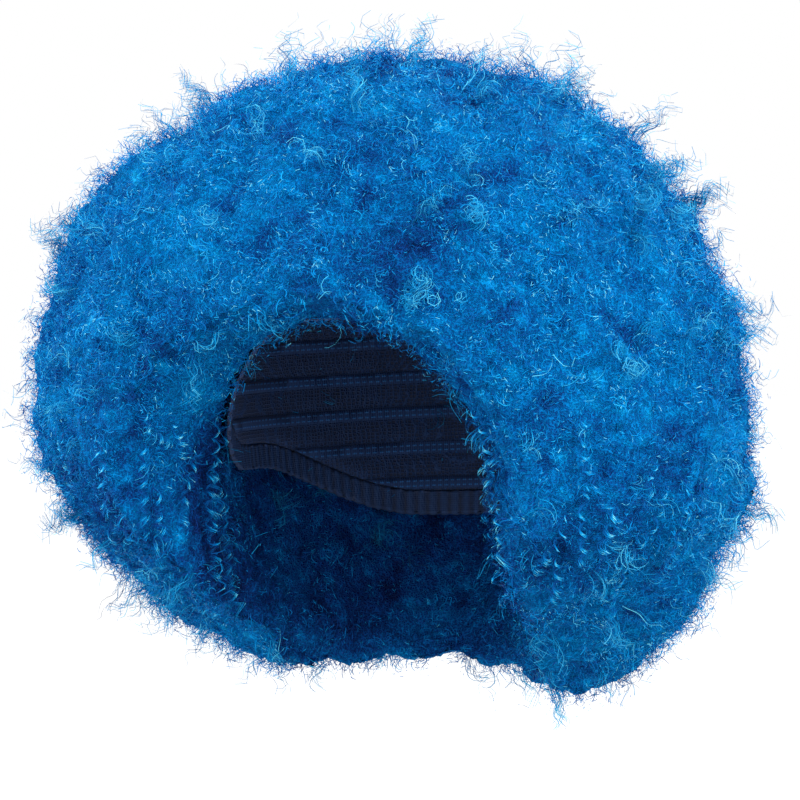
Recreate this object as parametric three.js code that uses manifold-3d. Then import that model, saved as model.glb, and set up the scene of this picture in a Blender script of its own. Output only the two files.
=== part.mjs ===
// A big curly afro wig in the shape it takes on a head. A stretch cap fits the head, an elastic band binds
// the cap's edge, and nine rows of curly hair are sewn round the cap, each one row of locks side by side.
// Units are millimetres. +Z is up, the face looks along -Y, and +X is the wearer's left.
// The origin is the inside top of the cap, where the crown of the head touches it.

import * as THREE from "three";
import { mergeVertices } from "three/addons/utils/BufferGeometryUtils.js";
import Module from "manifold-3d";

const DEGREE = Math.PI / 180;
const FULL_TURN = 360;
const GAP = 0.3; // between pieces that touch

// Two rounded forms about one centre: the hollow that the head fills, and the ball of hair. Each has its
// reaches from the centre, and the powers of its outline: 2 is an ellipse, more is squarer.
const CENTRE_Z = -105;
const HEAD = {
  front: 99,
  side: 78,
  back: 99,
  rise: 105,
  dropFront: 150,
  dropBack: 150,
  powerAbove: 2,
  powerFront: 2,
  powerBack: 2,
};
const BALL = {
  front: 149,
  side: 177,
  back: 168,
  rise: 180,
  dropFront: 111,
  dropBack: 134,
  powerAbove: 2.25,
  powerFront: 2,
  powerBack: 2.7,
};
const LOWER = { from: 60, to: 115 }; // below the centre, front passes to back between these headings
const FULLER = 4; // the ball is combed out further at the wearer's upper right and lower left

// The cap covers the hollow from its top down to a rim, given in degrees from straight up.
const CAP = { wall: 1.5, rimFront: 52, rimSide: 96, rimNape: 112, columns: 40, levels: 6 };
const TEMPLE = { from: 15, to: 85 }; // where the rim falls from the forehead to the ear
const NAPE = { from: 100, to: 165 }; // where it falls on from the ear to the nape
const BAND = { width: 12, wall: 2.5 };

// Rows of locks, from the crown down. Angles are degrees from straight up, about the centre.
const ROWS = [
  { top: 0, bottom: 18, locks: 5, columns: 5, seed: 11 },
  { top: 18, bottom: 34, locks: 10, columns: 3, seed: 23 },
  { top: 34, bottom: 50, locks: 15, columns: 3, seed: 37 },
  { top: 50, bottom: 66, locks: 19, columns: 3, seed: 41 },
  { top: 66, bottom: 82, locks: 22, columns: 3, seed: 53 },
  { top: 82, bottom: 98, locks: 23, columns: 3, seed: 67 },
  { top: 98, bottom: 115, locks: 22, columns: 3, seed: 71 },
  { top: 115, bottom: 134, locks: 19, columns: 3, seed: 83 },
  { top: 134, bottom: 158, locks: 14, columns: 3, seed: 97 },
];
const ROW_GAP = 0.4; // degrees between one row and the next
const ROW_ROOT = 0.9; // how far the inside of a row stands off the cap

// One lock: a tuft that stands out between grooves, and leans to one side.
const LOCK = { groove: 11, crest: 4.5, spread: 4, steps: 4, lean: 0.3, edge: 0.75, side: 0.45 };

// The opening for the face: an arch on two straight legs, which flares like a trumpet in front of the second
// depth, so that the hair rounds into it. Tufts stand out from its wall.
const FACE = {
  halfWidth: 72,
  springZ: -130,
  rise: 73,
  power: 1.7,
  bottomZ: -270,
  depths: [-20, -66, -88, -108, -126, -144, -190],
  flareWide: 0.0105,
  flareUp: 0.0022,
  archSteps: 14,
  legSteps: 4,
  tuft: 4,
};
const NECK = { halfWidth: 64, halfLength: 60, centreY: 4, topZ: -110, bottomZ: -270, columns: 24 };

const COLOURS = { hair: 0x0a6ab6, cap: 0x10356b, band: 0x0e2a55 };

const wasm = await Module();
wasm.setup();

// Numbers from 0 to 1 that look random and are the same on every run.
function seeded(seed) {
  let state = seed;
  return () => {
    state = (state * 1664525 + 1013904223) % 4294967296;
    return state / 4294967296;
  };
}

function smooth(from, to, value) {
  return THREE.MathUtils.smoothstep(value, from, to);
}

function headings(columns, start = 0) {
  return Array.from({ length: columns }, (_, i) => start + (i * FULL_TURN) / columns);
}

// A heading is degrees round from the face, so 0 is the front, 90 the wearer's left and 180 the back.
function foldedHeading(heading) {
  const turn = ((heading % FULL_TURN) + FULL_TURN) % FULL_TURN;
  return Math.min(turn, FULL_TURN - turn);
}

// How far a form reaches from its centre, for a heading and an angle from straight up.
function reachOf(form, heading, angle) {
  const [turn, tilt] = [heading * DEGREE, angle * DEGREE];
  const long = Math.cos(turn) > 0 ? form.front : form.back;
  const wide = 1 / Math.hypot(Math.sin(turn) / form.side, Math.cos(turn) / long);
  const low = smooth(LOWER.from, LOWER.to, foldedHeading(heading));
  const above = Math.cos(tilt) > 0;
  const tall = above ? form.rise : THREE.MathUtils.lerp(form.dropFront, form.dropBack, low);
  const power = above ? form.powerAbove : THREE.MathUtils.lerp(form.powerFront, form.powerBack, low);
  const share = (Math.sin(tilt) / wide) ** power + (Math.abs(Math.cos(tilt)) / tall) ** power;
  return share ** (-1 / power);
}

function formPoint(form, heading, angle, offset) {
  const [turn, tilt] = [heading * DEGREE, angle * DEGREE];
  const reach = reachOf(form, heading, angle) + offset;
  return new THREE.Vector3(
    reach * Math.sin(tilt) * Math.sin(turn),
    -reach * Math.sin(tilt) * Math.cos(turn),
    CENTRE_Z + reach * Math.cos(tilt),
  );
}

function solidOf(points, index) {
  const loose = new THREE.BufferGeometry().setFromPoints(points).setIndex(index);
  const merged = mergeVertices(loose, 1e-4);
  const kept = [];
  for (let i = 0; i < merged.index.count; i += 3) {
    const [a, b, c] = [0, 1, 2].map((k) => merged.index.getX(i + k));
    if (a !== b && b !== c && c !== a) kept.push(a, b, c);
  }
  const vertProperties = new Float32Array(merged.attributes.position.array);
  return new wasm.Manifold(new wasm.Mesh({ numProp: 3, vertProperties, triVerts: new Uint32Array(kept) }));
}

// A closed surface through a ring of profiles, each a closed loop with the same number of points. Points
// that meet on the axis are merged, and the faces that vanish there are dropped.
function sweptRing(profiles) {
  const across = profiles[0].length;
  const index = [];
  profiles.forEach((_, column) => {
    const here = column * across;
    const next = ((column + 1) % profiles.length) * across;
    for (let i = 0; i < across; i++) {
      const after = (i + 1) % across;
      index.push(here + i, here + after, next + after, here + i, next + after, next + i);
    }
  });
  return solidOf(profiles.flat(), index);
}

// A closed solid through a row of loops that ends in two flat caps.
function loftedSolid(loops) {
  const across = loops[0].length;
  const index = [];
  for (let row = 0; row + 1 < loops.length; row++) {
    for (let i = 0; i < across; i++) {
      const [a, b] = [row * across + i, row * across + ((i + 1) % across)];
      index.push(a, b, b + across, a, b + across, a + across);
    }
  }
  const last = (loops.length - 1) * across;
  for (let i = 1; i + 1 < across; i++) {
    index.push(0, i + 1, i, last, last + i, last + i + 1);
  }
  return solidOf(loops.flat(), index);
}

function rimAngle(heading) {
  const round = foldedHeading(heading);
  return (
    CAP.rimFront +
    (CAP.rimSide - CAP.rimFront) * smooth(TEMPLE.from, TEMPLE.to, round) +
    (CAP.rimNape - CAP.rimSide) * smooth(NAPE.from, NAPE.to, round)
  );
}

// A point past the cap's rim, measured square to the rim along the head form.
function pastRim(heading, distance, offset) {
  const angle = rimAngle(heading);
  const step = 0.5;
  const here = formPoint(HEAD, heading, angle, 0);
  const alongHeading = formPoint(HEAD, heading + step, angle, 0).distanceTo(here) / step;
  const alongAngle = formPoint(HEAD, heading, angle + step, 0).distanceTo(here) / step;
  const slope = (rimAngle(heading + step) - rimAngle(heading - step)) / (2 * step);
  const square = new THREE.Vector2(-alongAngle * slope, alongHeading).normalize();
  return formPoint(
    HEAD,
    heading + (distance * square.x) / alongHeading,
    angle + (distance * square.y) / alongAngle,
    offset,
  );
}

// Points down the cap from its top to its rim.
function capLine(heading, offset) {
  const rim = rimAngle(heading);
  return Array.from({ length: CAP.levels + 1 }, (_, i) =>
    formPoint(HEAD, heading, (rim * i) / CAP.levels, offset),
  );
}

function capShell() {
  const profiles = headings(CAP.columns).map((heading) =>
    [...capLine(heading, 0), ...capLine(heading, CAP.wall).reverse()].reverse(),
  );
  return sweptRing(profiles);
}

// The band's section is a flat strip that runs on past the cap's rim. A growth makes the space it needs.
function edgeBand(growth = 0) {
  const [near, far] = [GAP - growth, GAP + BAND.width + growth];
  const [inside, outside] = [-growth, BAND.wall + growth];
  const profiles = headings(CAP.columns).map((heading) => [
    pastRim(heading, near, inside),
    pastRim(heading, far, inside),
    pastRim(heading, far, outside),
    pastRim(heading, near, outside),
  ]);
  return sweptRing(profiles.map((profile) => profile.reverse()));
}

function neckSpace() {
  const { halfWidth, halfLength, centreY, topZ, bottomZ, columns } = NECK;
  const ring = (z) =>
    headings(columns).map((heading) => {
      const turn = heading * DEGREE;
      return new THREE.Vector3(halfWidth * Math.cos(turn), centreY + halfLength * Math.sin(turn), z);
    });
  return loftedSolid([ring(bottomZ), ring(topZ)]);
}

// The arch at one depth, from its foot on the wearer's left over the forehead to the other foot.
function archAt(depth, section) {
  const forward = Math.max(0, FACE.depths[1] - depth);
  const wide = FACE.halfWidth + FACE.flareWide * forward ** 2;
  const tall = FACE.rise + FACE.flareUp * forward ** 2;
  const last = FACE.archSteps + 2 * FACE.legSteps;
  return Array.from({ length: last + 1 }, (_, i) => {
    const turn = (Math.PI * THREE.MathUtils.clamp(i - FACE.legSteps, 0, FACE.archSteps)) / FACE.archSteps;
    const [c, s] = [Math.cos(turn), Math.sin(turn)];
    const reach = (Math.abs(c) ** FACE.power + Math.abs(s) ** FACE.power) ** (-1 / FACE.power);
    const below = Math.max(0, FACE.legSteps - i, i - FACE.legSteps - FACE.archSteps) / FACE.legSteps;
    const tuft = FACE.tuft * Math.sin(3 * i + 2.4 * section);
    const z = FACE.springZ + (tall + tuft) * reach * s;
    return new THREE.Vector3((wide + tuft) * reach * c, depth, THREE.MathUtils.lerp(z, FACE.bottomZ, below));
  });
}

function faceSpace() {
  return loftedSolid(FACE.depths.map(archAt));
}

function fullness(heading, angle) {
  return -FULLER * Math.sin(heading * DEGREE) * Math.sin(2 * angle * DEGREE);
}

// One ring of locks, from the cap out to the tufted surface.
function lockRing(row, rowIndex) {
  const random = seeded(row.seed);
  const tufts = Array.from({ length: row.locks }, () => ({
    crest: LOCK.crest + LOCK.spread * (random() - 0.5) * 2,
    lean: (random() - 0.5) * 2 * LOCK.lean,
  }));
  const top = row.top === 0 ? 0 : row.top + ROW_GAP / 2;
  const bottom = row.bottom - ROW_GAP / 2;
  const count = row.locks * row.columns;
  const lockAngle = FULL_TURN / row.locks;
  const stagger = (rowIndex % 2) * (lockAngle / 2);
  const profiles = headings(count, stagger).map((heading, column) => {
    const tuft = tufts[Math.floor(column / row.columns)];
    const across = (column % row.columns) / row.columns;
    const swellAcross = THREE.MathUtils.lerp(LOCK.side, 1, Math.sqrt(Math.sin(Math.PI * across)));
    const outer = [];
    for (let i = 0; i <= LOCK.steps; i++) {
      const down = i / LOCK.steps;
      const swellDown = THREE.MathUtils.lerp(LOCK.edge, 1, Math.sqrt(Math.sin(Math.PI * down)));
      const polar = row.top === 0 && i === 0;
      const swell = polar ? 1 : swellDown * swellAcross;
      const angle = THREE.MathUtils.lerp(top, bottom, down);
      const turned = heading + tuft.lean * lockAngle * Math.sin(Math.PI * down);
      const crest = polar ? LOCK.crest : tuft.crest;
      const height = fullness(turned, angle) - LOCK.groove + (LOCK.groove + crest) * swell;
      outer.push(formPoint(BALL, turned, angle, height));
    }
    const root = CAP.wall + ROW_ROOT;
    const inner = [bottom, (bottom + top) / 2, top].map((angle) => formPoint(HEAD, heading, angle, root));
    return [...outer, ...inner];
  });
  return sweptRing(profiles);
}

function part(name, solid, colour) {
  const { numProp, vertProperties, triVerts } = solid.getMesh();
  const count = vertProperties.length / numProp;
  const positions = new Float32Array(count * 3);
  for (let i = 0; i < count; i++) {
    positions.set(vertProperties.subarray(i * numProp, i * numProp + 3), i * 3);
  }
  const geometry = new THREE.BufferGeometry()
    .setAttribute("position", new THREE.BufferAttribute(positions, 3))
    .setIndex(new THREE.BufferAttribute(new Uint32Array(triVerts), 1));
  geometry.computeVertexNormals();
  const material = new THREE.MeshStandardMaterial({ color: colour, roughness: 0.6, metalness: 0 });
  const mesh = new THREE.Mesh(geometry, material);
  mesh.name = name;
  return mesh;
}

const wig = new THREE.Group();
wig.add(part("cap", capShell(), COLOURS.cap));
wig.add(part("edge_band", edgeBand(), COLOURS.band));

const hollow = edgeBand(GAP).add(neckSpace()).add(faceSpace());
ROWS.forEach((row, i) => {
  wig.add(part(`hair_row_${i + 1}`, lockRing(row, i).subtract(hollow), COLOURS.hair));
});

export default wig;
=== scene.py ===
import math

import bmesh
import bpy
import numpy as np
from mathutils import Matrix, Vector
from mathutils.bvhtree import BVHTree


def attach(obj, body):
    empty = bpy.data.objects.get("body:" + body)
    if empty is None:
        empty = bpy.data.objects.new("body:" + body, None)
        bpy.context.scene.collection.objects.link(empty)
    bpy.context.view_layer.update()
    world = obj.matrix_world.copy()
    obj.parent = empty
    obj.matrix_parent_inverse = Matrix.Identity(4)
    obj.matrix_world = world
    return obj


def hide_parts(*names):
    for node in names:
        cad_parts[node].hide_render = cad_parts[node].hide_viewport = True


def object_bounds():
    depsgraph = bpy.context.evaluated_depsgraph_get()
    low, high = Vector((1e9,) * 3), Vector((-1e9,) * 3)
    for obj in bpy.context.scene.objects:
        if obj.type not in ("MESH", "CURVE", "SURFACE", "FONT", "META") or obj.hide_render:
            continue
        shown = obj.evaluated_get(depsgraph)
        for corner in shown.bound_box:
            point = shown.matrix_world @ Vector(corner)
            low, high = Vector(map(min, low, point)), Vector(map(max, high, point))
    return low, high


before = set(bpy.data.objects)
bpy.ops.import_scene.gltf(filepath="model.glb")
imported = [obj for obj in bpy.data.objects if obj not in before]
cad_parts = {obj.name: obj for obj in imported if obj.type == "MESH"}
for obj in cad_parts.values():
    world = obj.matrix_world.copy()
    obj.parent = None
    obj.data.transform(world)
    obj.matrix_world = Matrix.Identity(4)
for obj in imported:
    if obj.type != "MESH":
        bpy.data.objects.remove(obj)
cad_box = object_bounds()


# The net cap. A cap of dark stretch net, sewn to the shape of a head, carries all the hair. Its net is soft,
# so it is drawn in a little along each row of sewn hair. It stands for the cap shell.
HEAD_CENTRE = np.array([0.0, 0.0, -0.105])
HEAD_LENGTH, HEAD_WIDTH, HEAD_RISE, HEAD_DROP = 0.099, 0.078, 0.105, 0.150
CAP_WALL = 0.0015
CAP_FACET = 0.008
TRACK_TOP, TRACK_BOTTOM, TRACK_COUNT = -0.012, -0.158, 9
TRACK_WIDTH = 0.006
NET_PUCKER = 0.0012
NET_CELL = 0.0018

track_heights = np.linspace(TRACK_TOP, TRACK_BOTTOM, TRACK_COUNT)


def unit(vectors):
    return vectors / np.maximum(np.linalg.norm(vectors, axis=-1, keepdims=True), 1e-9)


def piece_from(name, mesh, *finishes):
    piece = bpy.data.objects.new(name, mesh)
    bpy.context.scene.collection.objects.link(piece)
    for finish in finishes:
        piece.data.materials.append(finish.material)
    return piece


def mesh_of(name, shape, smooth=True):
    mesh = bpy.data.meshes.new(name)
    shape.to_mesh(mesh)
    shape.free()
    if smooth:
        mesh.shade_smooth()
    return mesh


def merged_copy(node):
    """A CAD node's mesh as one joined surface, to be worked on."""
    shape = bmesh.new()
    shape.from_mesh(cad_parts[node].data)
    bmesh.ops.remove_doubles(shape, verts=shape.verts, dist=1e-5)
    shape.normal_update()
    return shape


def refine(shape, facet, kinds, rounds):
    """Cuts the edges of the faces of the given kinds until none is longer than a facet."""
    for _ in range(rounds):
        edges = [
            edge for edge in shape.edges
            if edge.calc_length() > facet and any(face.material_index in kinds for face in edge.link_faces)
        ]
        if not edges:
            break
        bmesh.ops.subdivide_edges(shape, edges=edges, cuts=1)
        bmesh.ops.triangulate(shape, faces=[face for face in shape.faces if len(face.verts) > 3])
    shape.normal_update()


def head_reach(way):
    """How far the head's form reaches from its centre in a direction."""
    tall = HEAD_RISE if way.z > 0 else HEAD_DROP
    return 1 / math.hypot(way.x / HEAD_WIDTH, way.y / HEAD_LENGTH, way.z / tall)


def pucker(z):
    """How far the net is drawn in towards the head at a height: most between two sewn rows."""
    pitch = (TRACK_TOP - TRACK_BOTTOM) / (TRACK_COUNT - 1)
    return NET_PUCKER * 0.5 * (1 - math.cos(2 * math.pi * (z - TRACK_TOP) / pitch))


class Value:
    """A socket's value in a material, on which arithmetic adds Math nodes."""

    def __init__(self, finish, socket):
        self.finish, self.socket = finish, socket

    def math(self, operation, *others, clamp=False):
        sockets = dict(enumerate((self, *others)))
        return self.finish.add("ShaderNodeMath", {"operation": operation, "use_clamp": clamp}, sockets)

    def __add__(self, other):
        return self.math("ADD", other)

    def __sub__(self, other):
        return self.math("SUBTRACT", other)

    def __rsub__(self, other):
        return self.finish.add("ShaderNodeMath", {"operation": "SUBTRACT"}, {0: other, 1: self})

    def __mul__(self, other):
        return self.math("MULTIPLY", other)

    def __pow__(self, other):
        return self.math("POWER", other)

    def clamped(self):
        return self.math("ADD", 0.0, clamp=True)

    __radd__, __rmul__ = __add__, __mul__


class Finish:
    """A material of one shader, or the surrounding light, and the nodes that vary it."""

    def __init__(self, name, kind="materials", shader="Principled BSDF", **constants):
        self.material = getattr(bpy.data, kind).new(name)
        self.material.use_nodes = True
        self.tree = self.material.node_tree
        self.shader = self.tree.nodes[shader]
        for socket, value in constants.items():
            self.shader.inputs[socket.replace("_", " ")].default_value = value

    def add(self, kind, settings=None, sockets=None, out=0):
        node = self.tree.nodes.new(kind)
        for name, value in (settings or {}).items():
            if name == "stops":
                elements = node.color_ramp.elements
                while len(elements) < len(value):
                    elements.new(1.0)
                for element, (place, colour) in zip(elements, value):
                    element.position, element.color = place, (*colour, 1.0)
            else:
                setattr(node, name, value)
        for name, value in (sockets or {}).items():
            self.join(value, node.inputs[name])
        return Value(self, node.outputs[out])

    def join(self, value, socket):
        if isinstance(value, Value):
            self.tree.links.new(value.socket, socket)
        else:
            socket.default_value = value

    def paint(self, **sockets):
        for name, value in sockets.items():
            self.join(value, self.shader.inputs[name.replace("_", " ")])

    def place(self):
        return self.add("ShaderNodeTexCoord", out="Object")

    def noise(self, place, size, detail=2.0, out="Fac"):
        """Soft noise whose patches are about one size across."""
        return self.add("ShaderNodeTexNoise", {}, {"Vector": place, "Scale": 1 / size, "Detail": detail}, out)

    def bump(self, height, depth):
        return self.add("ShaderNodeBump", {}, {"Height": height, "Distance": depth}, "Normal")

    def ramp(self, value, stops):
        return self.add("ShaderNodeValToRGB", {"stops": stops}, {"Fac": value}, "Color")


net = Finish("stretch net", Roughness=0.8)
net_place = net.place()
net_cells = net.add(
    "ShaderNodeTexVoronoi",
    {"feature": "DISTANCE_TO_EDGE"},
    {"Vector": net_place, "Scale": 1 / NET_CELL, "Randomness": 0.35},
    "Distance",
)
net_thread = (1.0 - net_cells * 5.0).clamped()
net_shade = net_thread * 0.55 + net.noise(net_place, 0.02) * 0.3
net.paint(
    Base_Color=net.ramp(net_shade, [(0.1, (0.0015, 0.008, 0.035)), (0.8, (0.006, 0.045, 0.17))]),
    Normal=net.bump(net_thread, 0.0004),
)

shell = merged_copy("cap")
INSIDE, OUTSIDE, RIM = 1, 0, 2
for face in shell.faces:
    outward = (face.calc_center_median() - Vector(HEAD_CENTRE)).normalized().dot(face.normal)
    face.material_index = OUTSIDE if outward > 0.5 else INSIDE if outward < -0.5 else RIM
refine(shell, CAP_FACET, (INSIDE, OUTSIDE), 4)
for vertex in shell.verts:
    kinds = {face.material_index for face in vertex.link_faces}
    way = (vertex.co - Vector(HEAD_CENTRE)).normalized()
    if kinds == {RIM}:
        continue
    reach = head_reach(way) + (0 if INSIDE in kinds else CAP_WALL)
    vertex.co = Vector(HEAD_CENTRE) + way * reach
inner_wall = shell.copy()
for vertex in shell.verts:
    if {face.material_index for face in vertex.link_faces} == {INSIDE}:
        vertex.co -= (vertex.co - Vector(HEAD_CENTRE)).normalized() * pucker(vertex.co.z)
for face in shell.faces:
    face.material_index = 0
net_cap = piece_from("net_cap", mesh_of("net_cap", shell), net)
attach(net_cap, "root")
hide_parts("cap")


# The weft tracks. Each row of hair is sewn to the net along a narrow woven tape, and the tapes show inside
# the cap as level ribs with two lines of pale stitches.
TAPE_THICKNESS = 0.0009
STITCH_PITCH = 0.0032
RIB_PITCH = 0.0011
STITCH_LINES = (0.28, 0.72)

tape = Finish("weft tape", Roughness=0.85)
run = tape.add("ShaderNodeUVMap", {"uv_map": "along"})
split = tape.add("ShaderNodeSeparateXYZ", {}, {0: run}, "X")
along = Value(tape, split.socket.node.outputs["X"])
across = Value(tape, split.socket.node.outputs["Y"])
ribs = (along * (2 * math.pi / RIB_PITCH)).math("SINE") * 0.5 + 0.5
stitch_wave = (along * (2 * math.pi / STITCH_PITCH)).math("SINE")
off_lines = [(across - line).math("ABSOLUTE") for line in STITCH_LINES]
near_line = off_lines[0].math("MINIMUM", off_lines[1])
stitches = (1.0 - near_line * 9.0).clamped() * stitch_wave.math("GREATER_THAN", -0.35)
tape_shade = ribs * 0.3 + tape.noise(tape.place(), 0.004) * 0.25
tape_colour = tape.ramp(tape_shade, [(0.0, (0.002, 0.012, 0.05)), (0.6, (0.006, 0.05, 0.19))])
thread_colour = tape.ramp(ribs, [(0.0, (0.01, 0.09, 0.32)), (1.0, (0.03, 0.2, 0.55))])
tape.paint(
    Base_Color=tape.add(
        "ShaderNodeMix",
        {"data_type": "RGBA"},
        {"Factor": stitches, 6: tape_colour, 7: thread_colour},
        2,
    ),
    Normal=tape.bump(ribs * 0.4 + stitches, 0.0004),
)

tracks = bmesh.new()
for height in track_heights:
    strip = inner_wall.copy()
    bmesh.ops.delete(strip, geom=[f for f in strip.faces if f.material_index != INSIDE], context="FACES")
    for level, keep_above in ((height + TRACK_WIDTH / 2, False), (height - TRACK_WIDTH / 2, True)):
        bmesh.ops.bisect_plane(
            strip,
            geom=strip.verts[:] + strip.edges[:] + strip.faces[:],
            plane_co=(0, 0, level),
            plane_no=(0, 0, 1),
            clear_outer=not keep_above,
            clear_inner=keep_above,
        )
    if not strip.faces:
        strip.free()
        continue
    bmesh.ops.solidify(strip, geom=strip.faces[:], thickness=-TAPE_THICKNESS)
    strip_mesh = mesh_of("strip", strip)
    tracks.from_mesh(strip_mesh)
    bpy.data.meshes.remove(strip_mesh)
inner_wall.free()
bmesh.ops.recalc_face_normals(tracks, faces=tracks.faces)
along_map = tracks.loops.layers.uv.new("along")
for face in tracks.faces:
    face.material_index = 0
    middle = face.calc_center_median()
    nearest = track_heights[np.argmin(np.abs(track_heights - middle.z))]
    turn = math.atan2(middle.x, middle.y)
    for loop in face.loops:
        own = math.atan2(loop.vert.co.x, loop.vert.co.y)
        own += 2 * math.pi * round((turn - own) / (2 * math.pi))
        radius = max(0.02, math.hypot(middle.x, middle.y))
        loop[along_map].uv = (own * radius, (loop.vert.co.z - nearest) / TRACK_WIDTH + 0.5)
weft_tracks = piece_from("weft_tracks", mesh_of("weft_tracks", tracks), tape)
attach(weft_tracks, "root")


# The edge band. A ribbed elastic strip binds the cap's edge, sewn on stretched, so that it lies in fine
# gathers and grips the head over the forehead, round the ears and across the nape.
GATHER_PITCH, GATHER_HEIGHT = 0.0048, 0.0004
BAND_WEAVE = 0.0011
BAND_FACET = 0.003

elastic = Finish("ribbed elastic", Roughness=0.75)
elastic_place = elastic.place()
painted_fold_shade = elastic.add("ShaderNodeAttribute", {"attribute_name": "gather"}, {}, "Fac")
weave = elastic.add(
    "ShaderNodeTexVoronoi",
    {"feature": "F1"},
    {"Vector": elastic_place, "Scale": 1 / BAND_WEAVE, "Randomness": 0.2},
    "Distance",
)
# Painted shade: the elastic is darker in the hollows of its gathers and lighter on their crests.
elastic_shade = painted_fold_shade * 0.55 + (1.0 - weave) * 0.3
elastic.paint(
    Base_Color=elastic.ramp(elastic_shade, [(0.1, (0.001, 0.007, 0.03)), (0.9, (0.008, 0.05, 0.18))]),
    Normal=elastic.bump(weave, 0.0003),
)

band = merged_copy("edge_band")
for face in band.faces:
    face.material_index = 0
refine(band, BAND_FACET, (0,), 5)
fold_shade_layer = band.verts.layers.float.new("gather")
for vertex in band.verts:
    turn = math.atan2(vertex.co.x, vertex.co.y)
    wave = math.sin(2 * math.pi * turn * HEAD_WIDTH / GATHER_PITCH)
    # Painted shade: lower in the hollows of the gathers, 1 on their crests.
    vertex[fold_shade_layer] = 0.5 + 0.5 * wave
    vertex.co += vertex.normal * GATHER_HEIGHT * (wave - 1)
elastic_band = piece_from("elastic_band", mesh_of("elastic_band", band), elastic)
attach(elastic_band, "root")
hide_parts("edge_band")


# The woolly undercoat. Nine rows of crimped synthetic fibre are sewn round the cap, and combed out into one
# ball. Deep in it the fibre is packed close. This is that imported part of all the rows, grown together, with
# the clumps and hollows of the combed hair, and it lies just under the solid rows that it stands for.
HAIR_ROWS = [f"hair_row_{number}" for number in range(1, 10)]
WOOL_FACET = 0.0036
FIRST_SMOOTHINGS, LAST_SMOOTHINGS = 9, 2
SINK = 0.0052
CLUMP_SWELL, TUFT_SWELL = 0.0019, 0.0016
TUFT_SIZES = (0.012, 0.009)
FRAY = 0.0008
# How much painted shade darkens the hair that faces in.
PAINTED_INNER_SHADE = 0.24
CAP_GAP, BAND_GAP = 0.001, 0.0015
SEWN_REACH = 0.004

# The ball's own lumps and dents: a place, how wide each is, and how far it stands out.
LUMPS = [
    ((-0.168, -0.061, -0.078), 0.036, 0.0095),
    ((0.103, 0.037, -0.235), 0.040, 0.0065),
    ((0.160, 0.058, -0.178), 0.030, -0.0115),
    ((0.147, 0.053, -0.032), 0.024, -0.0055),
    ((-0.094, -0.034, 0.044), 0.026, -0.0085),
    ((-0.131, -0.048, -0.202), 0.026, -0.006),
    ((-0.119, -0.043, 0.022), 0.020, 0.006),
]

MIDDLE_TONE = 0.43
# Where the painted shade over the brow is centred, and how wide it spreads.
BROW = (0.04, -0.025)
BROW_WIDTH = 0.035
STRAND_SIZES = (0.0013, 0.0015, 0.0012)
STRAND_WANDER = 0.004
SPECK_SIZE = 0.0011

HAIR_TONES = [
    (0.0, (0.006, 0.016, 0.085)),
    (0.2, (0.004, 0.05, 0.25)),
    (0.42, (0.001, 0.165, 0.50)),
    (0.6, (0.001, 0.29, 0.72)),
    (0.8, (0.015, 0.48, 0.90)),
    (1.0, (0.26, 0.86, 1.0)),
]


def swell(points, seed, sizes=(0.034, 0.022, 0.014)):
    """A smooth value from -1 to 1 that varies over space: the hair's clumps and hollows."""
    rng = np.random.default_rng(seed)
    total = np.zeros(len(points))
    for size in sizes:
        for _ in range(6):
            way = unit(rng.normal(0, 1, 3))
            total += np.sin(points @ way * 2 * math.pi / size + rng.random() * 6.28)
    return np.clip(total / (1.55 * math.sqrt(3 * len(sizes) * 2)), -1, 1)


def ramp_up(values, low, high):
    """0 below low, 1 above high, and smooth between."""
    t = np.clip((values - low) / (high - low), 0, 1)
    return t * t * (3 - 2 * t)


def beside_face(points):
    """1 on the hair just beside the face opening, where it hangs in ringlets, and 0 away from it."""
    x, y, z = np.abs(points[:, 0]), points[:, 1], points[:, 2]
    across = ramp_up(x, 0.058, 0.068) * (1 - ramp_up(x, 0.135, 0.16))
    return across * ramp_up(-y, 0.035, 0.05) * ramp_up(-z, 0.085, 0.105) * (1 - ramp_up(-z, 0.205, 0.225))


def painted_inner_shade(points, outer):
    """Painted shade: how much darker the hair is that faces in, near the cap and behind the neck, than the
    combed ball.
    """
    return PAINTED_INNER_SHADE * (1 - outer) * ramp_up(points[:, 1], -0.092, -0.062)


def place_tone(points):
    """How light the hair is at a place: lighter in random tufts, with painted shade in the undercoat's
    hollows, beside the face and over the brow, and a touch of painted light towards the bottom.
    """
    tufts = np.maximum(0, swell(points, 9, TUFT_SIZES) - 0.25)
    # Painted light: a touch lighter towards the bottom.
    low = np.clip((-0.13 - points[:, 2]) / 0.1, 0, 1)
    # Painted shade: darker in the hollows, which are the hollows sunk into the undercoat's shape.
    hollows = np.minimum(0, swell(points, 5) + 0.15)
    tone = MIDDLE_TONE + 0.075 * swell(points, 6, (0.07, 0.05)) + 0.2 * hollows + 0.25 * tufts + 0.01 * low
    # Painted shade: darker just beside the face and over the brow, at the front.
    from_brow = (points[:, 0] - BROW[0]) ** 2 + (points[:, 2] - BROW[1]) ** 2
    painted_brow_shade = np.exp(-from_brow / (2 * BROW_WIDTH ** 2))
    return tone - 0.07 * beside_face(points) - 0.13 * painted_brow_shade * ramp_up(-points[:, 1], 0.05, 0.09)


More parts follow.
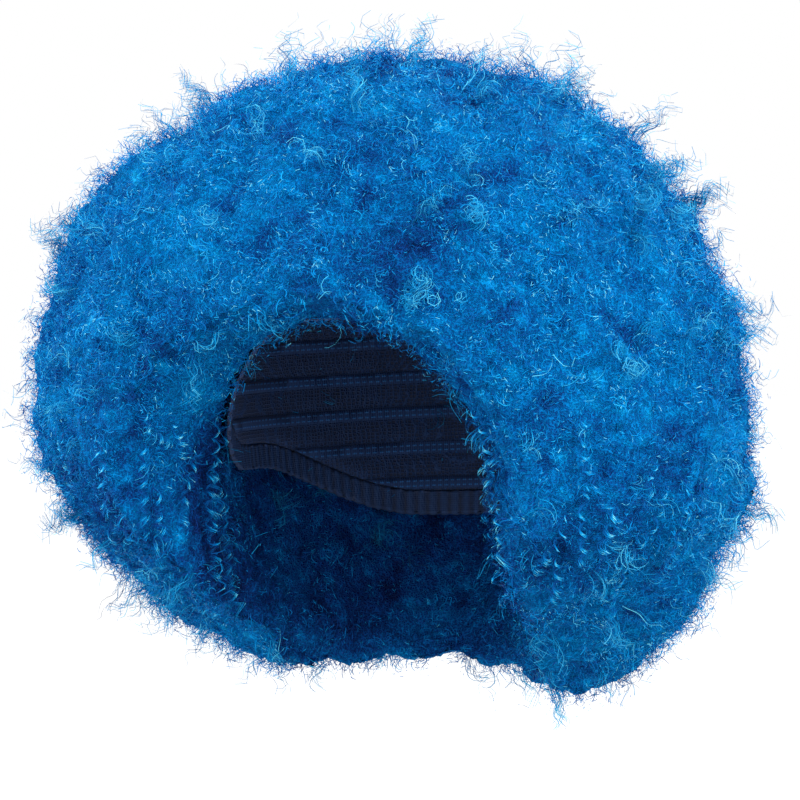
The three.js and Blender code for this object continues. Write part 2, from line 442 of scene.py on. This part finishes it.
coat = Finish("packed curly fibre", Roughness=0.7, Specular_IOR_Level=0.02)
coat_place = coat.place()
wander = coat.add(
    "ShaderNodeVectorMath",
    {"operation": "MULTIPLY_ADD"},
    {0: coat.noise(coat_place, STRAND_WANDER, 2.0, "Color"), 1: (STRAND_WANDER,) * 3, 2: coat_place},
)
strands = []
for way, size in zip("XYZ", STRAND_SIZES):
    wave = coat.add(
        "ShaderNodeTexWave",
        {"wave_type": "BANDS", "bands_direction": way},
        {
            "Vector": wander,
            "Scale": 2 * math.pi / (20 * size),
            "Distortion": 7.0,
            "Detail": 2.0,
            "Detail Scale": 1.4,
        },
        "Fac",
    )
    strands.append(wave ** 3.0)
strand = strands[0].math("MAXIMUM", strands[1]).math("MAXIMUM", strands[2])
coat_tone = coat.add("ShaderNodeAttribute", {"attribute_name": "tone"}, {}, "Fac")
specks = coat.noise(coat_place, SPECK_SIZE, 1.0)
coat_shade = coat_tone - 0.12 + strand * 0.2 + (specks - 0.5) * 0.24
coat.paint(Base_Color=coat.ramp(coat_shade, HAIR_TONES), Normal=coat.bump(strand + specks * 0.6, 0.0006))


def soften(shape, rounds):
    """Evens a shape out by moving each vertex towards its neighbours."""
    for _ in range(rounds):
        bmesh.ops.smooth_vert(
            shape, verts=shape.verts, factor=0.5, use_axis_x=True, use_axis_y=True, use_axis_z=True
        )


rows = bmesh.new()
row_of_face = []
for number, node in enumerate(HAIR_ROWS):
    rows.from_mesh(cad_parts[node].data)
    row_of_face += [number] * (len(rows.faces) - len(row_of_face))
row_tree = BVHTree.FromBMesh(rows)
all_rows = bpy.data.objects.new("all_rows", mesh_of("all_rows", rows, False))
bpy.context.scene.collection.objects.link(all_rows)
felting = all_rows.modifiers.new("felting", "REMESH")
felting.mode = "VOXEL"
felting.voxel_size = WOOL_FACET
felted = bpy.data.meshes.new_from_object(all_rows.evaluated_get(bpy.context.evaluated_depsgraph_get()))
bpy.data.objects.remove(all_rows)

wool = bmesh.new()
wool.from_mesh(felted)
bmesh.ops.triangulate(wool, faces=wool.faces)
soften(wool, FIRST_SMOOTHINGS)
wool.normal_update()
places = np.array([vertex.co[:] for vertex in wool.verts])
bulge = CLUMP_SWELL * swell(places, 5) + TUFT_SWELL * swell(places, 8, TUFT_SIZES) - SINK
for lump, wide, stand in LUMPS:
    bulge += stand * np.exp(-((places - lump) ** 2).sum(1) / (2 * wide ** 2))
for vertex, depth in zip(wool.verts, bulge):
    vertex.co += vertex.normal * float(depth)
soften(wool, LAST_SMOOTHINGS)

# Its surface is frayed into small points and pits.
wool.normal_update()
coat_tree = BVHTree.FromBMesh(wool)
rng = np.random.default_rng(31)
fray = rng.normal(0, FRAY, len(wool.verts)) + 0.5 * rng.gamma(1.0, FRAY, len(wool.verts))
for vertex, depth in zip(wool.verts, np.clip(fray, -2 * FRAY, 3 * FRAY)):
    vertex.co += vertex.normal * float(depth)

# It keeps clear of the cap and its band, to which it is sewn.
centre = Vector(HEAD_CENTRE)
band_shape, cap_shape = merged_copy("edge_band"), merged_copy("cap")
band_tree, cap_tree = BVHTree.FromBMesh(band_shape), BVHTree.FromBMesh(cap_shape)
band_shape.free()
cap_shape.free()
for vertex in wool.verts:
    way = (vertex.co - centre).normalized()
    nearest = head_reach(way) + CAP_WALL + CAP_GAP
    if (vertex.co - centre).length < nearest:
        vertex.co = centre + way * nearest
    place, normal, _, gap = band_tree.find_nearest(vertex.co)
    if gap < BAND_GAP or (gap < 3 * BAND_GAP and (vertex.co - place).dot(normal) < 0):
        vertex.co = place + normal * BAND_GAP
wool.normal_update()

places = np.array([vertex.co[:] for vertex in wool.verts])
outer = np.clip([vertex.normal.dot((vertex.co - centre).normalized()) + 0.6 for vertex in wool.verts], 0, 1)
tone_layer = wool.verts.layers.float.new("tone")
# Each vertex's tone, with the painted shade of place_tone and the painted shade on the hair that faces in.
for vertex, tone in zip(wool.verts, place_tone(places) - painted_inner_shade(places, outer)):
    vertex[tone_layer] = tone
open_sides = {node: [] for node in HAIR_ROWS}
for face in wool.faces:
    middle = face.calc_center_median()
    if min(band_tree.find_nearest(middle)[3], cap_tree.find_nearest(middle)[3]) > SEWN_REACH:
        row = row_of_face[row_tree.find_nearest(middle)[2]]
        open_sides[HAIR_ROWS[row]].append([vertex.co[:] for vertex in face.verts])
open_sides = {node: np.array(corners) for node, corners in open_sides.items()}
undercoat = piece_from("undercoat", mesh_of("undercoat", wool), coat)
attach(undercoat, "root")
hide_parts(*HAIR_ROWS)


# The curly fibres. The outer ends of the crimped fibre stand out of the undercoat in small curls, each a few
# fibres that bend together. They are sewn in the same rows, and short bends of them are lighter: painted
# highlights.
CURLED_FIBRES = 80000
PAINTED_GLINT_BENDS = 74000
FIBRES_IN_CURL = 6
CURL_POINTS, BEND_POINTS = 4, 2
CURL_WIDTH, BEND_WIDTH = (0.00034, 0.00052), (0.00022, 0.00034)
COMBED_DEPTH = 0.0072
SMOOTH_BESIDE_FACE = 0.65
INNER_SPARSE = 0.5
DEEPEST_POKE = 0.006
CURL_RADIUS, CURL_RADIUS_SPREAD = 0.0022, 0.0008
CURL_LENGTH, BEND_LENGTH = (0.0035, 0.0075), (0.0010, 0.0026)

fibre = Finish("curly fibre", Roughness=0.5, Specular_IOR_Level=0.03)
fibre_tone = fibre.add("ShaderNodeAttribute", {"attribute_name": "tone"}, {}, "Fac")
fibre.paint(Base_Color=fibre.ramp(fibre_tone, HAIR_TONES))


def sides_of(node):
    """A row's open triangles: corners, normals, areas, and how much each faces out from the head."""
    corners = open_sides[node]
    a, b, c = corners[:, 0], corners[:, 1], corners[:, 2]
    normals = np.cross(b - a, c - a)
    areas = np.linalg.norm(normals, axis=1) / 2
    normals = unit(normals)
    return a, b, c, normals, areas, (normals * unit((a + b + c) / 3 - HEAD_CENTRE)).sum(1)


def scatter(rng, a, b, c, weights, count):
    """Random points on triangles, by weight, and the triangle that each lies on."""
    chosen = rng.choice(len(weights), size=count, p=weights / weights.sum())
    u, v = rng.random(count), rng.random(count)
    flip = u + v > 1
    u[flip], v[flip] = 1 - u[flip], 1 - v[flip]
    return a[chosen] + u[:, None] * (b - a)[chosen] + v[:, None] * (c - a)[chosen], chosen


def square_to(rng, axes):
    """Two random directions square to each axis and to each other."""
    first = unit(np.cross(axes, rng.normal(0, 1, axes.shape)))
    return first, np.cross(axes, first)


def clear_of_cap(paths):
    """The paths, with what would poke through the cap pushed back out of it."""
    offset = paths - HEAD_CENTRE
    distance = np.linalg.norm(offset, axis=-1, keepdims=True)
    way = offset / np.maximum(distance, 1e-6)
    tall = np.where(way[..., 2] > 0, HEAD_RISE, HEAD_DROP)
    level = (way[..., 0] / HEAD_WIDTH) ** 2 + (way[..., 1] / HEAD_LENGTH) ** 2
    reach = 1 / np.sqrt(level + (way[..., 2] / tall) ** 2)
    outside = reach[..., None] + CAP_WALL + CAP_GAP
    pushed = (distance < outside) & (distance > outside - DEEPEST_POKE)
    return np.where(pushed, HEAD_CENTRE + way * outside, paths)


def ribbons(rng, paths, tones, width, away, turn_share=0.35, thin_end=0.5, map_from=0.0, map_to=1.0):
    """A flat ribbon along each path, facing away from the head: points, faces, map corners and tones."""
    paths = clear_of_cap(paths)
    count, points, _ = paths.shape
    ahead = unit(np.gradient(paths, axis=1))
    facing = away + rng.normal(0, turn_share, (count, 3))
    side = unit(np.cross(ahead, facing[:, None, :] + 0.02 * rng.normal(0, 1, (count, 1, 3))))
    taper = np.linspace(1, thin_end, points)[None, :, None]
    half = side * (width[:, None, None] / 2) * taper
    verts = np.stack([paths - half, paths + half], axis=2).reshape(-1, 3)
    first = (np.arange(count)[:, None] * points + np.arange(points - 1)[None, :]) * 2
    faces = np.stack([first, first + 1, first + 3, first + 2], axis=-1).reshape(-1, 4)
    cells = math.ceil(math.sqrt(count))
    column, row = np.arange(count) % cells, np.arange(count) // cells
    u = (column[:, None, None] + np.array([0.2, 0.8])[None, None, :]) / cells + np.zeros((1, points, 1))
    v = (row[:, None, None] + np.linspace(0.1, 0.9, points)[None, :, None]) / cells + np.zeros((1, 1, 2))
    v = map_from + (map_to - map_from) * v
    cell_points = np.stack([u, v], axis=-1).reshape(-1, 2)
    return verts, faces, cell_points, np.repeat(np.clip(tones, 0, 1).reshape(-1), 2)


def fibre_mesh(name, *groups):
    """One mesh of several groups of ribbons."""
    starts = np.cumsum([0] + [len(group[0]) for group in groups[:-1]])
    verts, uv, tones = (np.concatenate([group[k] for group in groups]) for k in (0, 2, 3))
    faces = np.concatenate([group[1] + start for group, start in zip(groups, starts)])
    mesh = bpy.data.meshes.new(name)
    mesh.vertices.add(len(verts))
    mesh.vertices.foreach_set("co", verts.astype(np.float32).ravel())
    mesh.loops.add(faces.size)
    mesh.loops.foreach_set("vertex_index", faces.astype(np.int32).ravel())
    mesh.polygons.add(len(faces))
    mesh.polygons.foreach_set("loop_start", np.arange(0, faces.size, 4, dtype=np.int32))
    mesh.update(calc_edges=True)
    mesh.uv_layers.new(name="OFBake").uv.foreach_set("vector", uv[faces.ravel()].astype(np.float32).ravel())
    tone = mesh.attributes.new("tone", "FLOAT", "POINT")
    tone.data.foreach_set("value", tones.astype(np.float32))
    mesh.polygons.foreach_set("use_smooth", np.ones(len(faces), dtype=bool))
    return mesh


def helix(angle, first, second, which):
    """Unit directions round an axis at each angle."""
    along_first = np.cos(angle)[..., None] * first[which][:, None, :]
    return along_first + np.sin(angle)[..., None] * second[which][:, None, :]


def curl_arcs(rng, curls, which, points, length, lift, climb, waver):
    """Arcs of fibre round the axes that the curls share, each rising along its axis."""
    roots, away, axis, first, second, radius, handed, begin = curls
    count = len(which)
    own_radius = radius[which] * np.clip(rng.normal(1, 0.3, count), 0.4, 1.8)
    turns = np.minimum(length / (2 * math.pi * own_radius), 0.6) * handed[which]
    middle = roots[which] + rng.normal(0, 0.0018, (count, 3)) + away[which] * lift[:, None]
    t = np.linspace(0, 1, points)[None, :]
    angle = (begin[which] + rng.normal(0, waver, count))[:, None] + 2 * math.pi * turns[:, None] * t
    rise = axis[which][:, None, :] * (climb[:, None] * t)[..., None]
    return middle[:, None, :] + own_radius[:, None, None] * helix(angle, first, second, which) + rise


total_worth = 0
for node in HAIR_ROWS:
    *_, areas, outward = sides_of(node)
    total_worth += (areas * np.where(outward > -0.2, 1, INNER_SPARSE)).sum()
for number, node in enumerate(HAIR_ROWS):
    rng = np.random.default_rng(100 + number)
    a, b, c, normals, areas, outward = sides_of(node)
    worth = areas * np.where(outward > -0.2, 1, INNER_SPARSE)
    share = worth.sum() / total_worth
    curl_count = int(CURLED_FIBRES * share) // FIBRES_IN_CURL
    roots, chosen = scatter(rng, a, b, c, worth, curl_count)
    facing_out = outward[chosen] > -0.1
    combed_out = unit(roots - HEAD_CENTRE) * np.where(facing_out, 0.5, 0)[:, None]
    away = unit(normals[chosen] * 0.7 + combed_out)
    axis = unit(away * 0.9 + rng.normal(0, 0.6, (curl_count, 3)))
    radius = np.clip(rng.normal(CURL_RADIUS, CURL_RADIUS_SPREAD, curl_count), 0.0010, 0.0045)
    radius[rng.random(curl_count) < 0.2] *= 1.8
    handed = rng.choice([-1.0, 1.0], curl_count)
    first, second = square_to(rng, axis)
    begin = rng.uniform(0, 2 * math.pi, curl_count)
    curls = (roots, away, axis, first, second, radius, handed, begin)
    # Each curl's tone, with the painted shade of place_tone and the painted shade on the hair that faces in.
    curl_tones = place_tone(roots) - painted_inner_shade(roots, np.clip(outward[chosen] + 0.6, 0, 1))
    curl_tones += rng.normal(0, 0.035, curl_count)
    combed = COMBED_DEPTH * (1 - SMOOTH_BESIDE_FACE * beside_face(roots))

    count = int(CURLED_FIBRES * share)
    which = np.sort(rng.integers(0, curl_count, count))
    standing = rng.random(count) < 0.45
    climb = np.where(standing, rng.uniform(0.002, 0.0065, count), rng.uniform(0.0003, 0.003, count))
    high = rng.random(count) ** 1.4
    depth = combed[which]
    lift = np.where(standing, high * 0.5 * depth, high * depth - climb * 0.5) - 0.0006
    paths = curl_arcs(rng, curls, which, CURL_POINTS, rng.uniform(*CURL_LENGTH, count), lift, climb, 0.6)
    # Painted shade and light: fibres deep in the combed shell are darker and those near its top lighter, and
    # each is darker towards its root.
    tones = curl_tones[which] + 0.26 * (high - 0.4) + rng.normal(0, 0.06, count)
    tones = tones[:, None] + np.linspace(-0.06, 0.03, CURL_POINTS)[None, :]
    width = rng.uniform(*CURL_WIDTH, count)
    curled = ribbons(rng, paths, tones, width, away[which], 0.9, map_to=0.6)

    # Painted highlights: short bends made lighter than their curl, to glint.
    count = int(PAINTED_GLINT_BENDS * share)
    which = np.sort(rng.integers(0, curl_count, count))
    lift = rng.random(count) ** 0.8 * combed[which]
    climb = rng.uniform(-0.0004, 0.0008, count)
    paths = curl_arcs(rng, curls, which, BEND_POINTS, rng.uniform(*BEND_LENGTH, count), lift, climb, 0.5)
    tones = curl_tones[which] + rng.uniform(0.06, 0.52, count)
    tones = tones[:, None] + np.array([-0.05, 0.05])[None, :]
    width = rng.uniform(*BEND_WIDTH, count)
    bends = ribbons(rng, paths, tones, width, away[which], 0.6, map_from=0.6)

    curls_piece = piece_from(f"curls_{number + 1}", fibre_mesh(f"curls_{number + 1}", curled, bends), fibre)
    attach(curls_piece, "root")
    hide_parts(node)


# The loose curls. Finer tufts of fibre have worked free of the ball. They stand out past it in waves that end
# in curls, and make its soft broken outline.
TUFTS = 820
TUFT_FIBRES = 7800
TUFT_POINTS = 13
TUFT_WIDTH = (0.0003, 0.00046)
TUFT_REACH = 0.0165
TUFT_RADIUS, TUFT_RADIUS_SPREAD = 0.0026, 0.0009
TUFT_PITCH = (0.011, 0.018)
TUFT_SPREAD, TUFT_STRAY = 0.0024, 0.0022
LOOSE_TONES = [
    (0.0, (0.008, 0.03, 0.09)),
    (0.35, (0.005, 0.13, 0.33)),
    (0.65, (0.004, 0.32, 0.68)),
    (1.0, (0.15, 0.78, 1.0)),
]

loose = Finish("loose fibre", Roughness=0.5, Specular_IOR_Level=0.03)
loose_tone = loose.add("ShaderNodeAttribute", {"attribute_name": "tone"}, {}, "Fac")
loose.paint(Base_Color=loose.ramp(loose_tone, LOOSE_TONES))

sides = [sides_of(node) for node in HAIR_ROWS]
a, b, c, normals, areas, outward = (np.concatenate([side[k] for side in sides]) for k in range(6))
rng = np.random.default_rng(77)
combed_front = 1 - 0.6 * ramp_up(-normals[:, 1], 0.3, 0.8)
roots, chosen = scatter(rng, a, b, c, areas * np.where(outward > 0.25, 1, 0.3) * combed_front, TUFTS)
facing_out = np.clip(outward[chosen], 0, 1)[:, None]
outwards = unit(roots - HEAD_CENTRE) * facing_out
growth = unit(normals[chosen] * 0.6 + outwards + rng.normal(0, 0.36, (TUFTS, 3)))
length = np.clip(rng.gamma(5.0, 0.0027, TUFTS), 0.006, 0.021) + 0.004
length -= 0.004 * ramp_up(-roots[:, 2], 0.2, 0.235) + 0.004 * ramp_up(np.abs(roots[:, 0]), 0.14, 0.17)
length += 0.003 * ramp_up(roots[:, 2], 0.0, 0.04)
length[facing_out[:, 0] < 0.25] *= 0.7
radius = np.clip(rng.normal(TUFT_RADIUS, TUFT_RADIUS_SPREAD, TUFTS), 0.0012, 0.0048)
fullness = rng.gamma(1.1, 1.0, TUFTS) + 0.1
which = np.sort(rng.choice(TUFTS, size=TUFT_FIBRES, p=fullness / fullness.sum()))
first, second = square_to(rng, growth)
handed = rng.choice([-1.0, 1.0], TUFTS)
own_length = length[which] * rng.uniform(0.55, 1.15, TUFT_FIBRES)
pitch = rng.uniform(*TUFT_PITCH, TUFTS)[which] * rng.uniform(0.85, 1.15, TUFT_FIBRES)
begin = rng.uniform(0, 2 * math.pi, TUFTS)[which] + rng.normal(0, 0.4, TUFT_FIBRES)
t = np.linspace(0, 1, TUFT_POINTS)[None, :]
angle = begin[:, None] + 2 * math.pi * (own_length / pitch * handed[which])[:, None] * t ** 1.6
spread = rng.normal(0, TUFT_SPREAD, (TUFT_FIBRES, 3))
stray = rng.normal(0, TUFT_STRAY, (TUFT_FIBRES, 3))
paths = roots[which][:, None, :] + growth[which][:, None, :] * (own_length[:, None] * t)[..., None]
paths += helix(angle, first, second, which) * (radius[which][:, None] * (0.3 + 0.9 * t))[..., None]
paths += spread[:, None, :] * (1 - 0.65 * t)[..., None] + stray[:, None, :] * (t ** 2)[..., None]
paths[..., 2] -= 0.002 * t ** 2
# A tuft that would reach too far past the solid rows is shortened.
low, high = np.array(cad_box[0]) - TUFT_REACH, np.array(cad_box[1]) + TUFT_REACH
start = roots[which][:, None, :]
excess = np.maximum((paths - start) / (high - start), (start - paths) / (start - low)).max(axis=(1, 2))
paths = start + (paths - start) / np.maximum(excess, 1)[:, None, None]
# Painted light: the loose curls are lighter than the ball, as if lit through, and darker towards the root, a
# painted shade.
tones = 0.61 + rng.normal(0, 0.05, TUFTS)[which] + rng.normal(0, 0.14, TUFT_FIBRES)
# Painted shade on the loose curls that face in.
tones -= painted_inner_shade(roots, np.clip(outward[chosen] + 0.6, 0, 1))[which]
tones = tones[:, None] + np.linspace(-0.1, 0.06, TUFT_POINTS)[None, :]
width = rng.uniform(*TUFT_WIDTH, TUFT_FIBRES)
tufts = ribbons(rng, paths, tones, width, growth[which], 1.0, 0.5)
loose_curls = piece_from("loose_curls", fibre_mesh("loose_curls", tufts), loose)
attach(loose_curls, "root")


# The ringlets. Beside the face the hair hangs in tight crimped locks, each a few fibres wound together. The
# front of each turn has a painted highlight, and the rest of each turn is darker, a painted shade in the gaps
# between the turns.
RINGLETS = 96
FIBRES_IN_RINGLET = 8
RINGLET_POINTS = 36
RINGLET_STAND = 0.0062
RINGLET_SPACING = 0.008
RINGLET_LENGTH, RINGLET_RADIUS, RINGLET_PITCH = (0.025, 0.065), (0.0018, 0.0028), (0.0075, 0.0095)
RINGLET_WIDTH = (0.00024, 0.00034)

middles = (a + b + c) / 3
candidates, _ = scatter(rng, a, b, c, areas * beside_face(middles) * (middles[:, 2] > -0.17), 40 * RINGLETS)
roots = []
for place in candidates:
    apart = [np.linalg.norm((place - other) * (1, 1, 0.3)) for other in roots]
    if len(roots) < RINGLETS and min(apart, default=1) > RINGLET_SPACING:
        roots.append(place)
length = rng.uniform(*RINGLET_LENGTH, len(roots))
lines, fronts, hanging = [], [], []
for root, whole in zip(roots, length):
    place, sway = Vector(root), Vector((rng.normal(0, 0.16), rng.normal(0, 0.1), 0))
    line, front = [], []
    for _ in range(RINGLET_POINTS):
        near_place, normal, _, _ = coat_tree.find_nearest(place)
        place = near_place + normal * RINGLET_STAND
        line.append(place[:])
        front.append(normal[:])
        down = Vector((0, 0, -1)) + sway
        place = place + (down - normal * down.dot(normal)).normalized() * (whole / RINGLET_POINTS)
    # A lock that catches on the surface and doesn't hang down is left out.
    if (Vector(line[0]) - Vector(line[-1])).length > 0.7 * whole:
        lines.append(line)
        fronts.append(front)
        hanging.append(whole)
lines, fronts, length = np.array(lines), np.array(fronts), np.array(hanging)
hung = len(lines)
for _ in range(3):
    lines[:, 1:-1] = (lines[:, :-2] + 2 * lines[:, 1:-1] + lines[:, 2:]) / 4
    fronts[:, 1:-1] = (fronts[:, :-2] + 2 * fronts[:, 1:-1] + fronts[:, 2:]) / 4
fronts = unit(fronts)
flanks = unit(np.cross(np.gradient(lines, axis=1), fronts))
count = hung * FIBRES_IN_RINGLET
which = np.repeat(np.arange(hung), FIBRES_IN_RINGLET)
radius = rng.uniform(*RINGLET_RADIUS, hung)[which] * rng.uniform(0.75, 1.15, count)
turns = (length / rng.uniform(*RINGLET_PITCH, hung) * rng.choice([-1.0, 1.0], hung))[which]
begin = rng.uniform(0, 2 * math.pi, hung)[which] + rng.normal(0, 0.28, count)
t = np.linspace(0, 1, RINGLET_POINTS)[None, :]
angle = begin[:, None] + 2 * math.pi * turns[:, None] * t
reach = radius[:, None] * np.minimum(1, 6 * t)
paths = lines[which] + (np.cos(angle) * reach)[..., None] * fronts[which]
paths += (np.sin(angle) * reach)[..., None] * flanks[which]
paths += rng.normal(0, 0.0012, (count, 3))[:, None, :] * (t ** 2)[..., None]
# Painted shade and highlight: each turn is dark, with a painted highlight where it faces out.
tones = 0.31 + rng.normal(0, 0.04, hung)[which][:, None] + rng.normal(0, 0.07, count)[:, None]
tones = tones + 0.62 * np.maximum(0, np.cos(angle)) ** 3
width = rng.uniform(*RINGLET_WIDTH, count)
wound = ribbons(rng, paths, tones, width, fronts.mean(axis=1)[which], 0.2, 0.5)
ringlets = piece_from("ringlets", fibre_mesh("ringlets", wound), fibre)
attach(ringlets, "root")


# The floor, light and camera. The wig stands clear of a plain pale floor, in soft studio light.
bpy.ops.mesh.primitive_plane_add(size=30, location=(0, 0, -0.6))
floor = bpy.context.object
floor.name = "floor"
paper = Finish("white paper", Roughness=0.9, Specular_IOR_Level=0.0)
paper.paint(Base_Color=(1.0, 1.0, 1.0, 1.0))
floor.data.materials.append(paper.material)
floor.visible_diffuse = False
DOME_BELOW, DOME_ABOVE = 0.68, 1.05


def softbox(name, place, size, power):
    data = bpy.data.lights.new(name, "AREA")
    data.size = size
    data.energy = power
    light = bpy.data.objects.new(name, data)
    bpy.context.scene.collection.objects.link(light)
    light.location = place
    light.rotation_euler = (Vector(HEAD_CENTRE) - Vector(place)).to_track_quat("-Z", "Y").to_euler()


softbox("key light", (0.2, -2.0, 1.7), 1.2, 16)
softbox("left light", (-2.0, -0.5, 0.15), 1.2, 25)
softbox("right light", (1.9, -0.9, 0.6), 1.2, 26)
softbox("back light", (0.4, 1.9, 1.9), 1.2, 20)

studio = Finish("studio", "worlds", "Background", Color=(1, 1, 1, 1))
look_up = studio.add("ShaderNodeSeparateXYZ", {}, {0: studio.add("ShaderNodeTexCoord", out="Generated")}, "Z")
dome = studio.add("ShaderNodeMapRange", {}, {"Value": look_up, 1: -0.6, 2: 0.0, 3: DOME_BELOW, 4: DOME_ABOVE})
seen = studio.add("ShaderNodeLightPath", out="Is Camera Ray")
studio.paint(Strength=dome + seen * (1.0 - dome))
bpy.context.scene.world = studio.material
bpy.context.scene.view_settings.view_transform = "Standard"

CAMERA_DISTANCE = 1.8
VIEW_AZIMUTH = math.radians(20)
VIEW_HEIGHT = math.radians(2)
VIEW_ROLL = math.radians(2.5)
PICTURE_SIZE = 800
MM_PER_PIXEL = 0.49
CENTRE_PIXEL = (397, 423)

camera_data = bpy.data.cameras.new("camera")
camera_data.sensor_width = 36
camera_data.lens = 36 * CAMERA_DISTANCE / (PICTURE_SIZE * MM_PER_PIXEL / 1000)
camera_data.shift_x = (PICTURE_SIZE / 2 - CENTRE_PIXEL[0]) / PICTURE_SIZE
camera_data.shift_y = (CENTRE_PIXEL[1] - PICTURE_SIZE / 2) / PICTURE_SIZE
camera = bpy.data.objects.new("camera", camera_data)
bpy.context.scene.collection.objects.link(camera)
looking = Vector((
    -math.sin(VIEW_AZIMUTH) * math.cos(VIEW_HEIGHT),
    math.cos(VIEW_AZIMUTH) * math.cos(VIEW_HEIGHT),
    -math.sin(VIEW_HEIGHT),
))
camera.location = Vector(HEAD_CENTRE) - looking * CAMERA_DISTANCE
level = looking.to_track_quat("-Z", "Y").to_matrix()
camera.rotation_euler = (level @ Matrix.Rotation(-VIEW_ROLL, 3, "Z")).to_euler()
bpy.context.scene.camera = camera
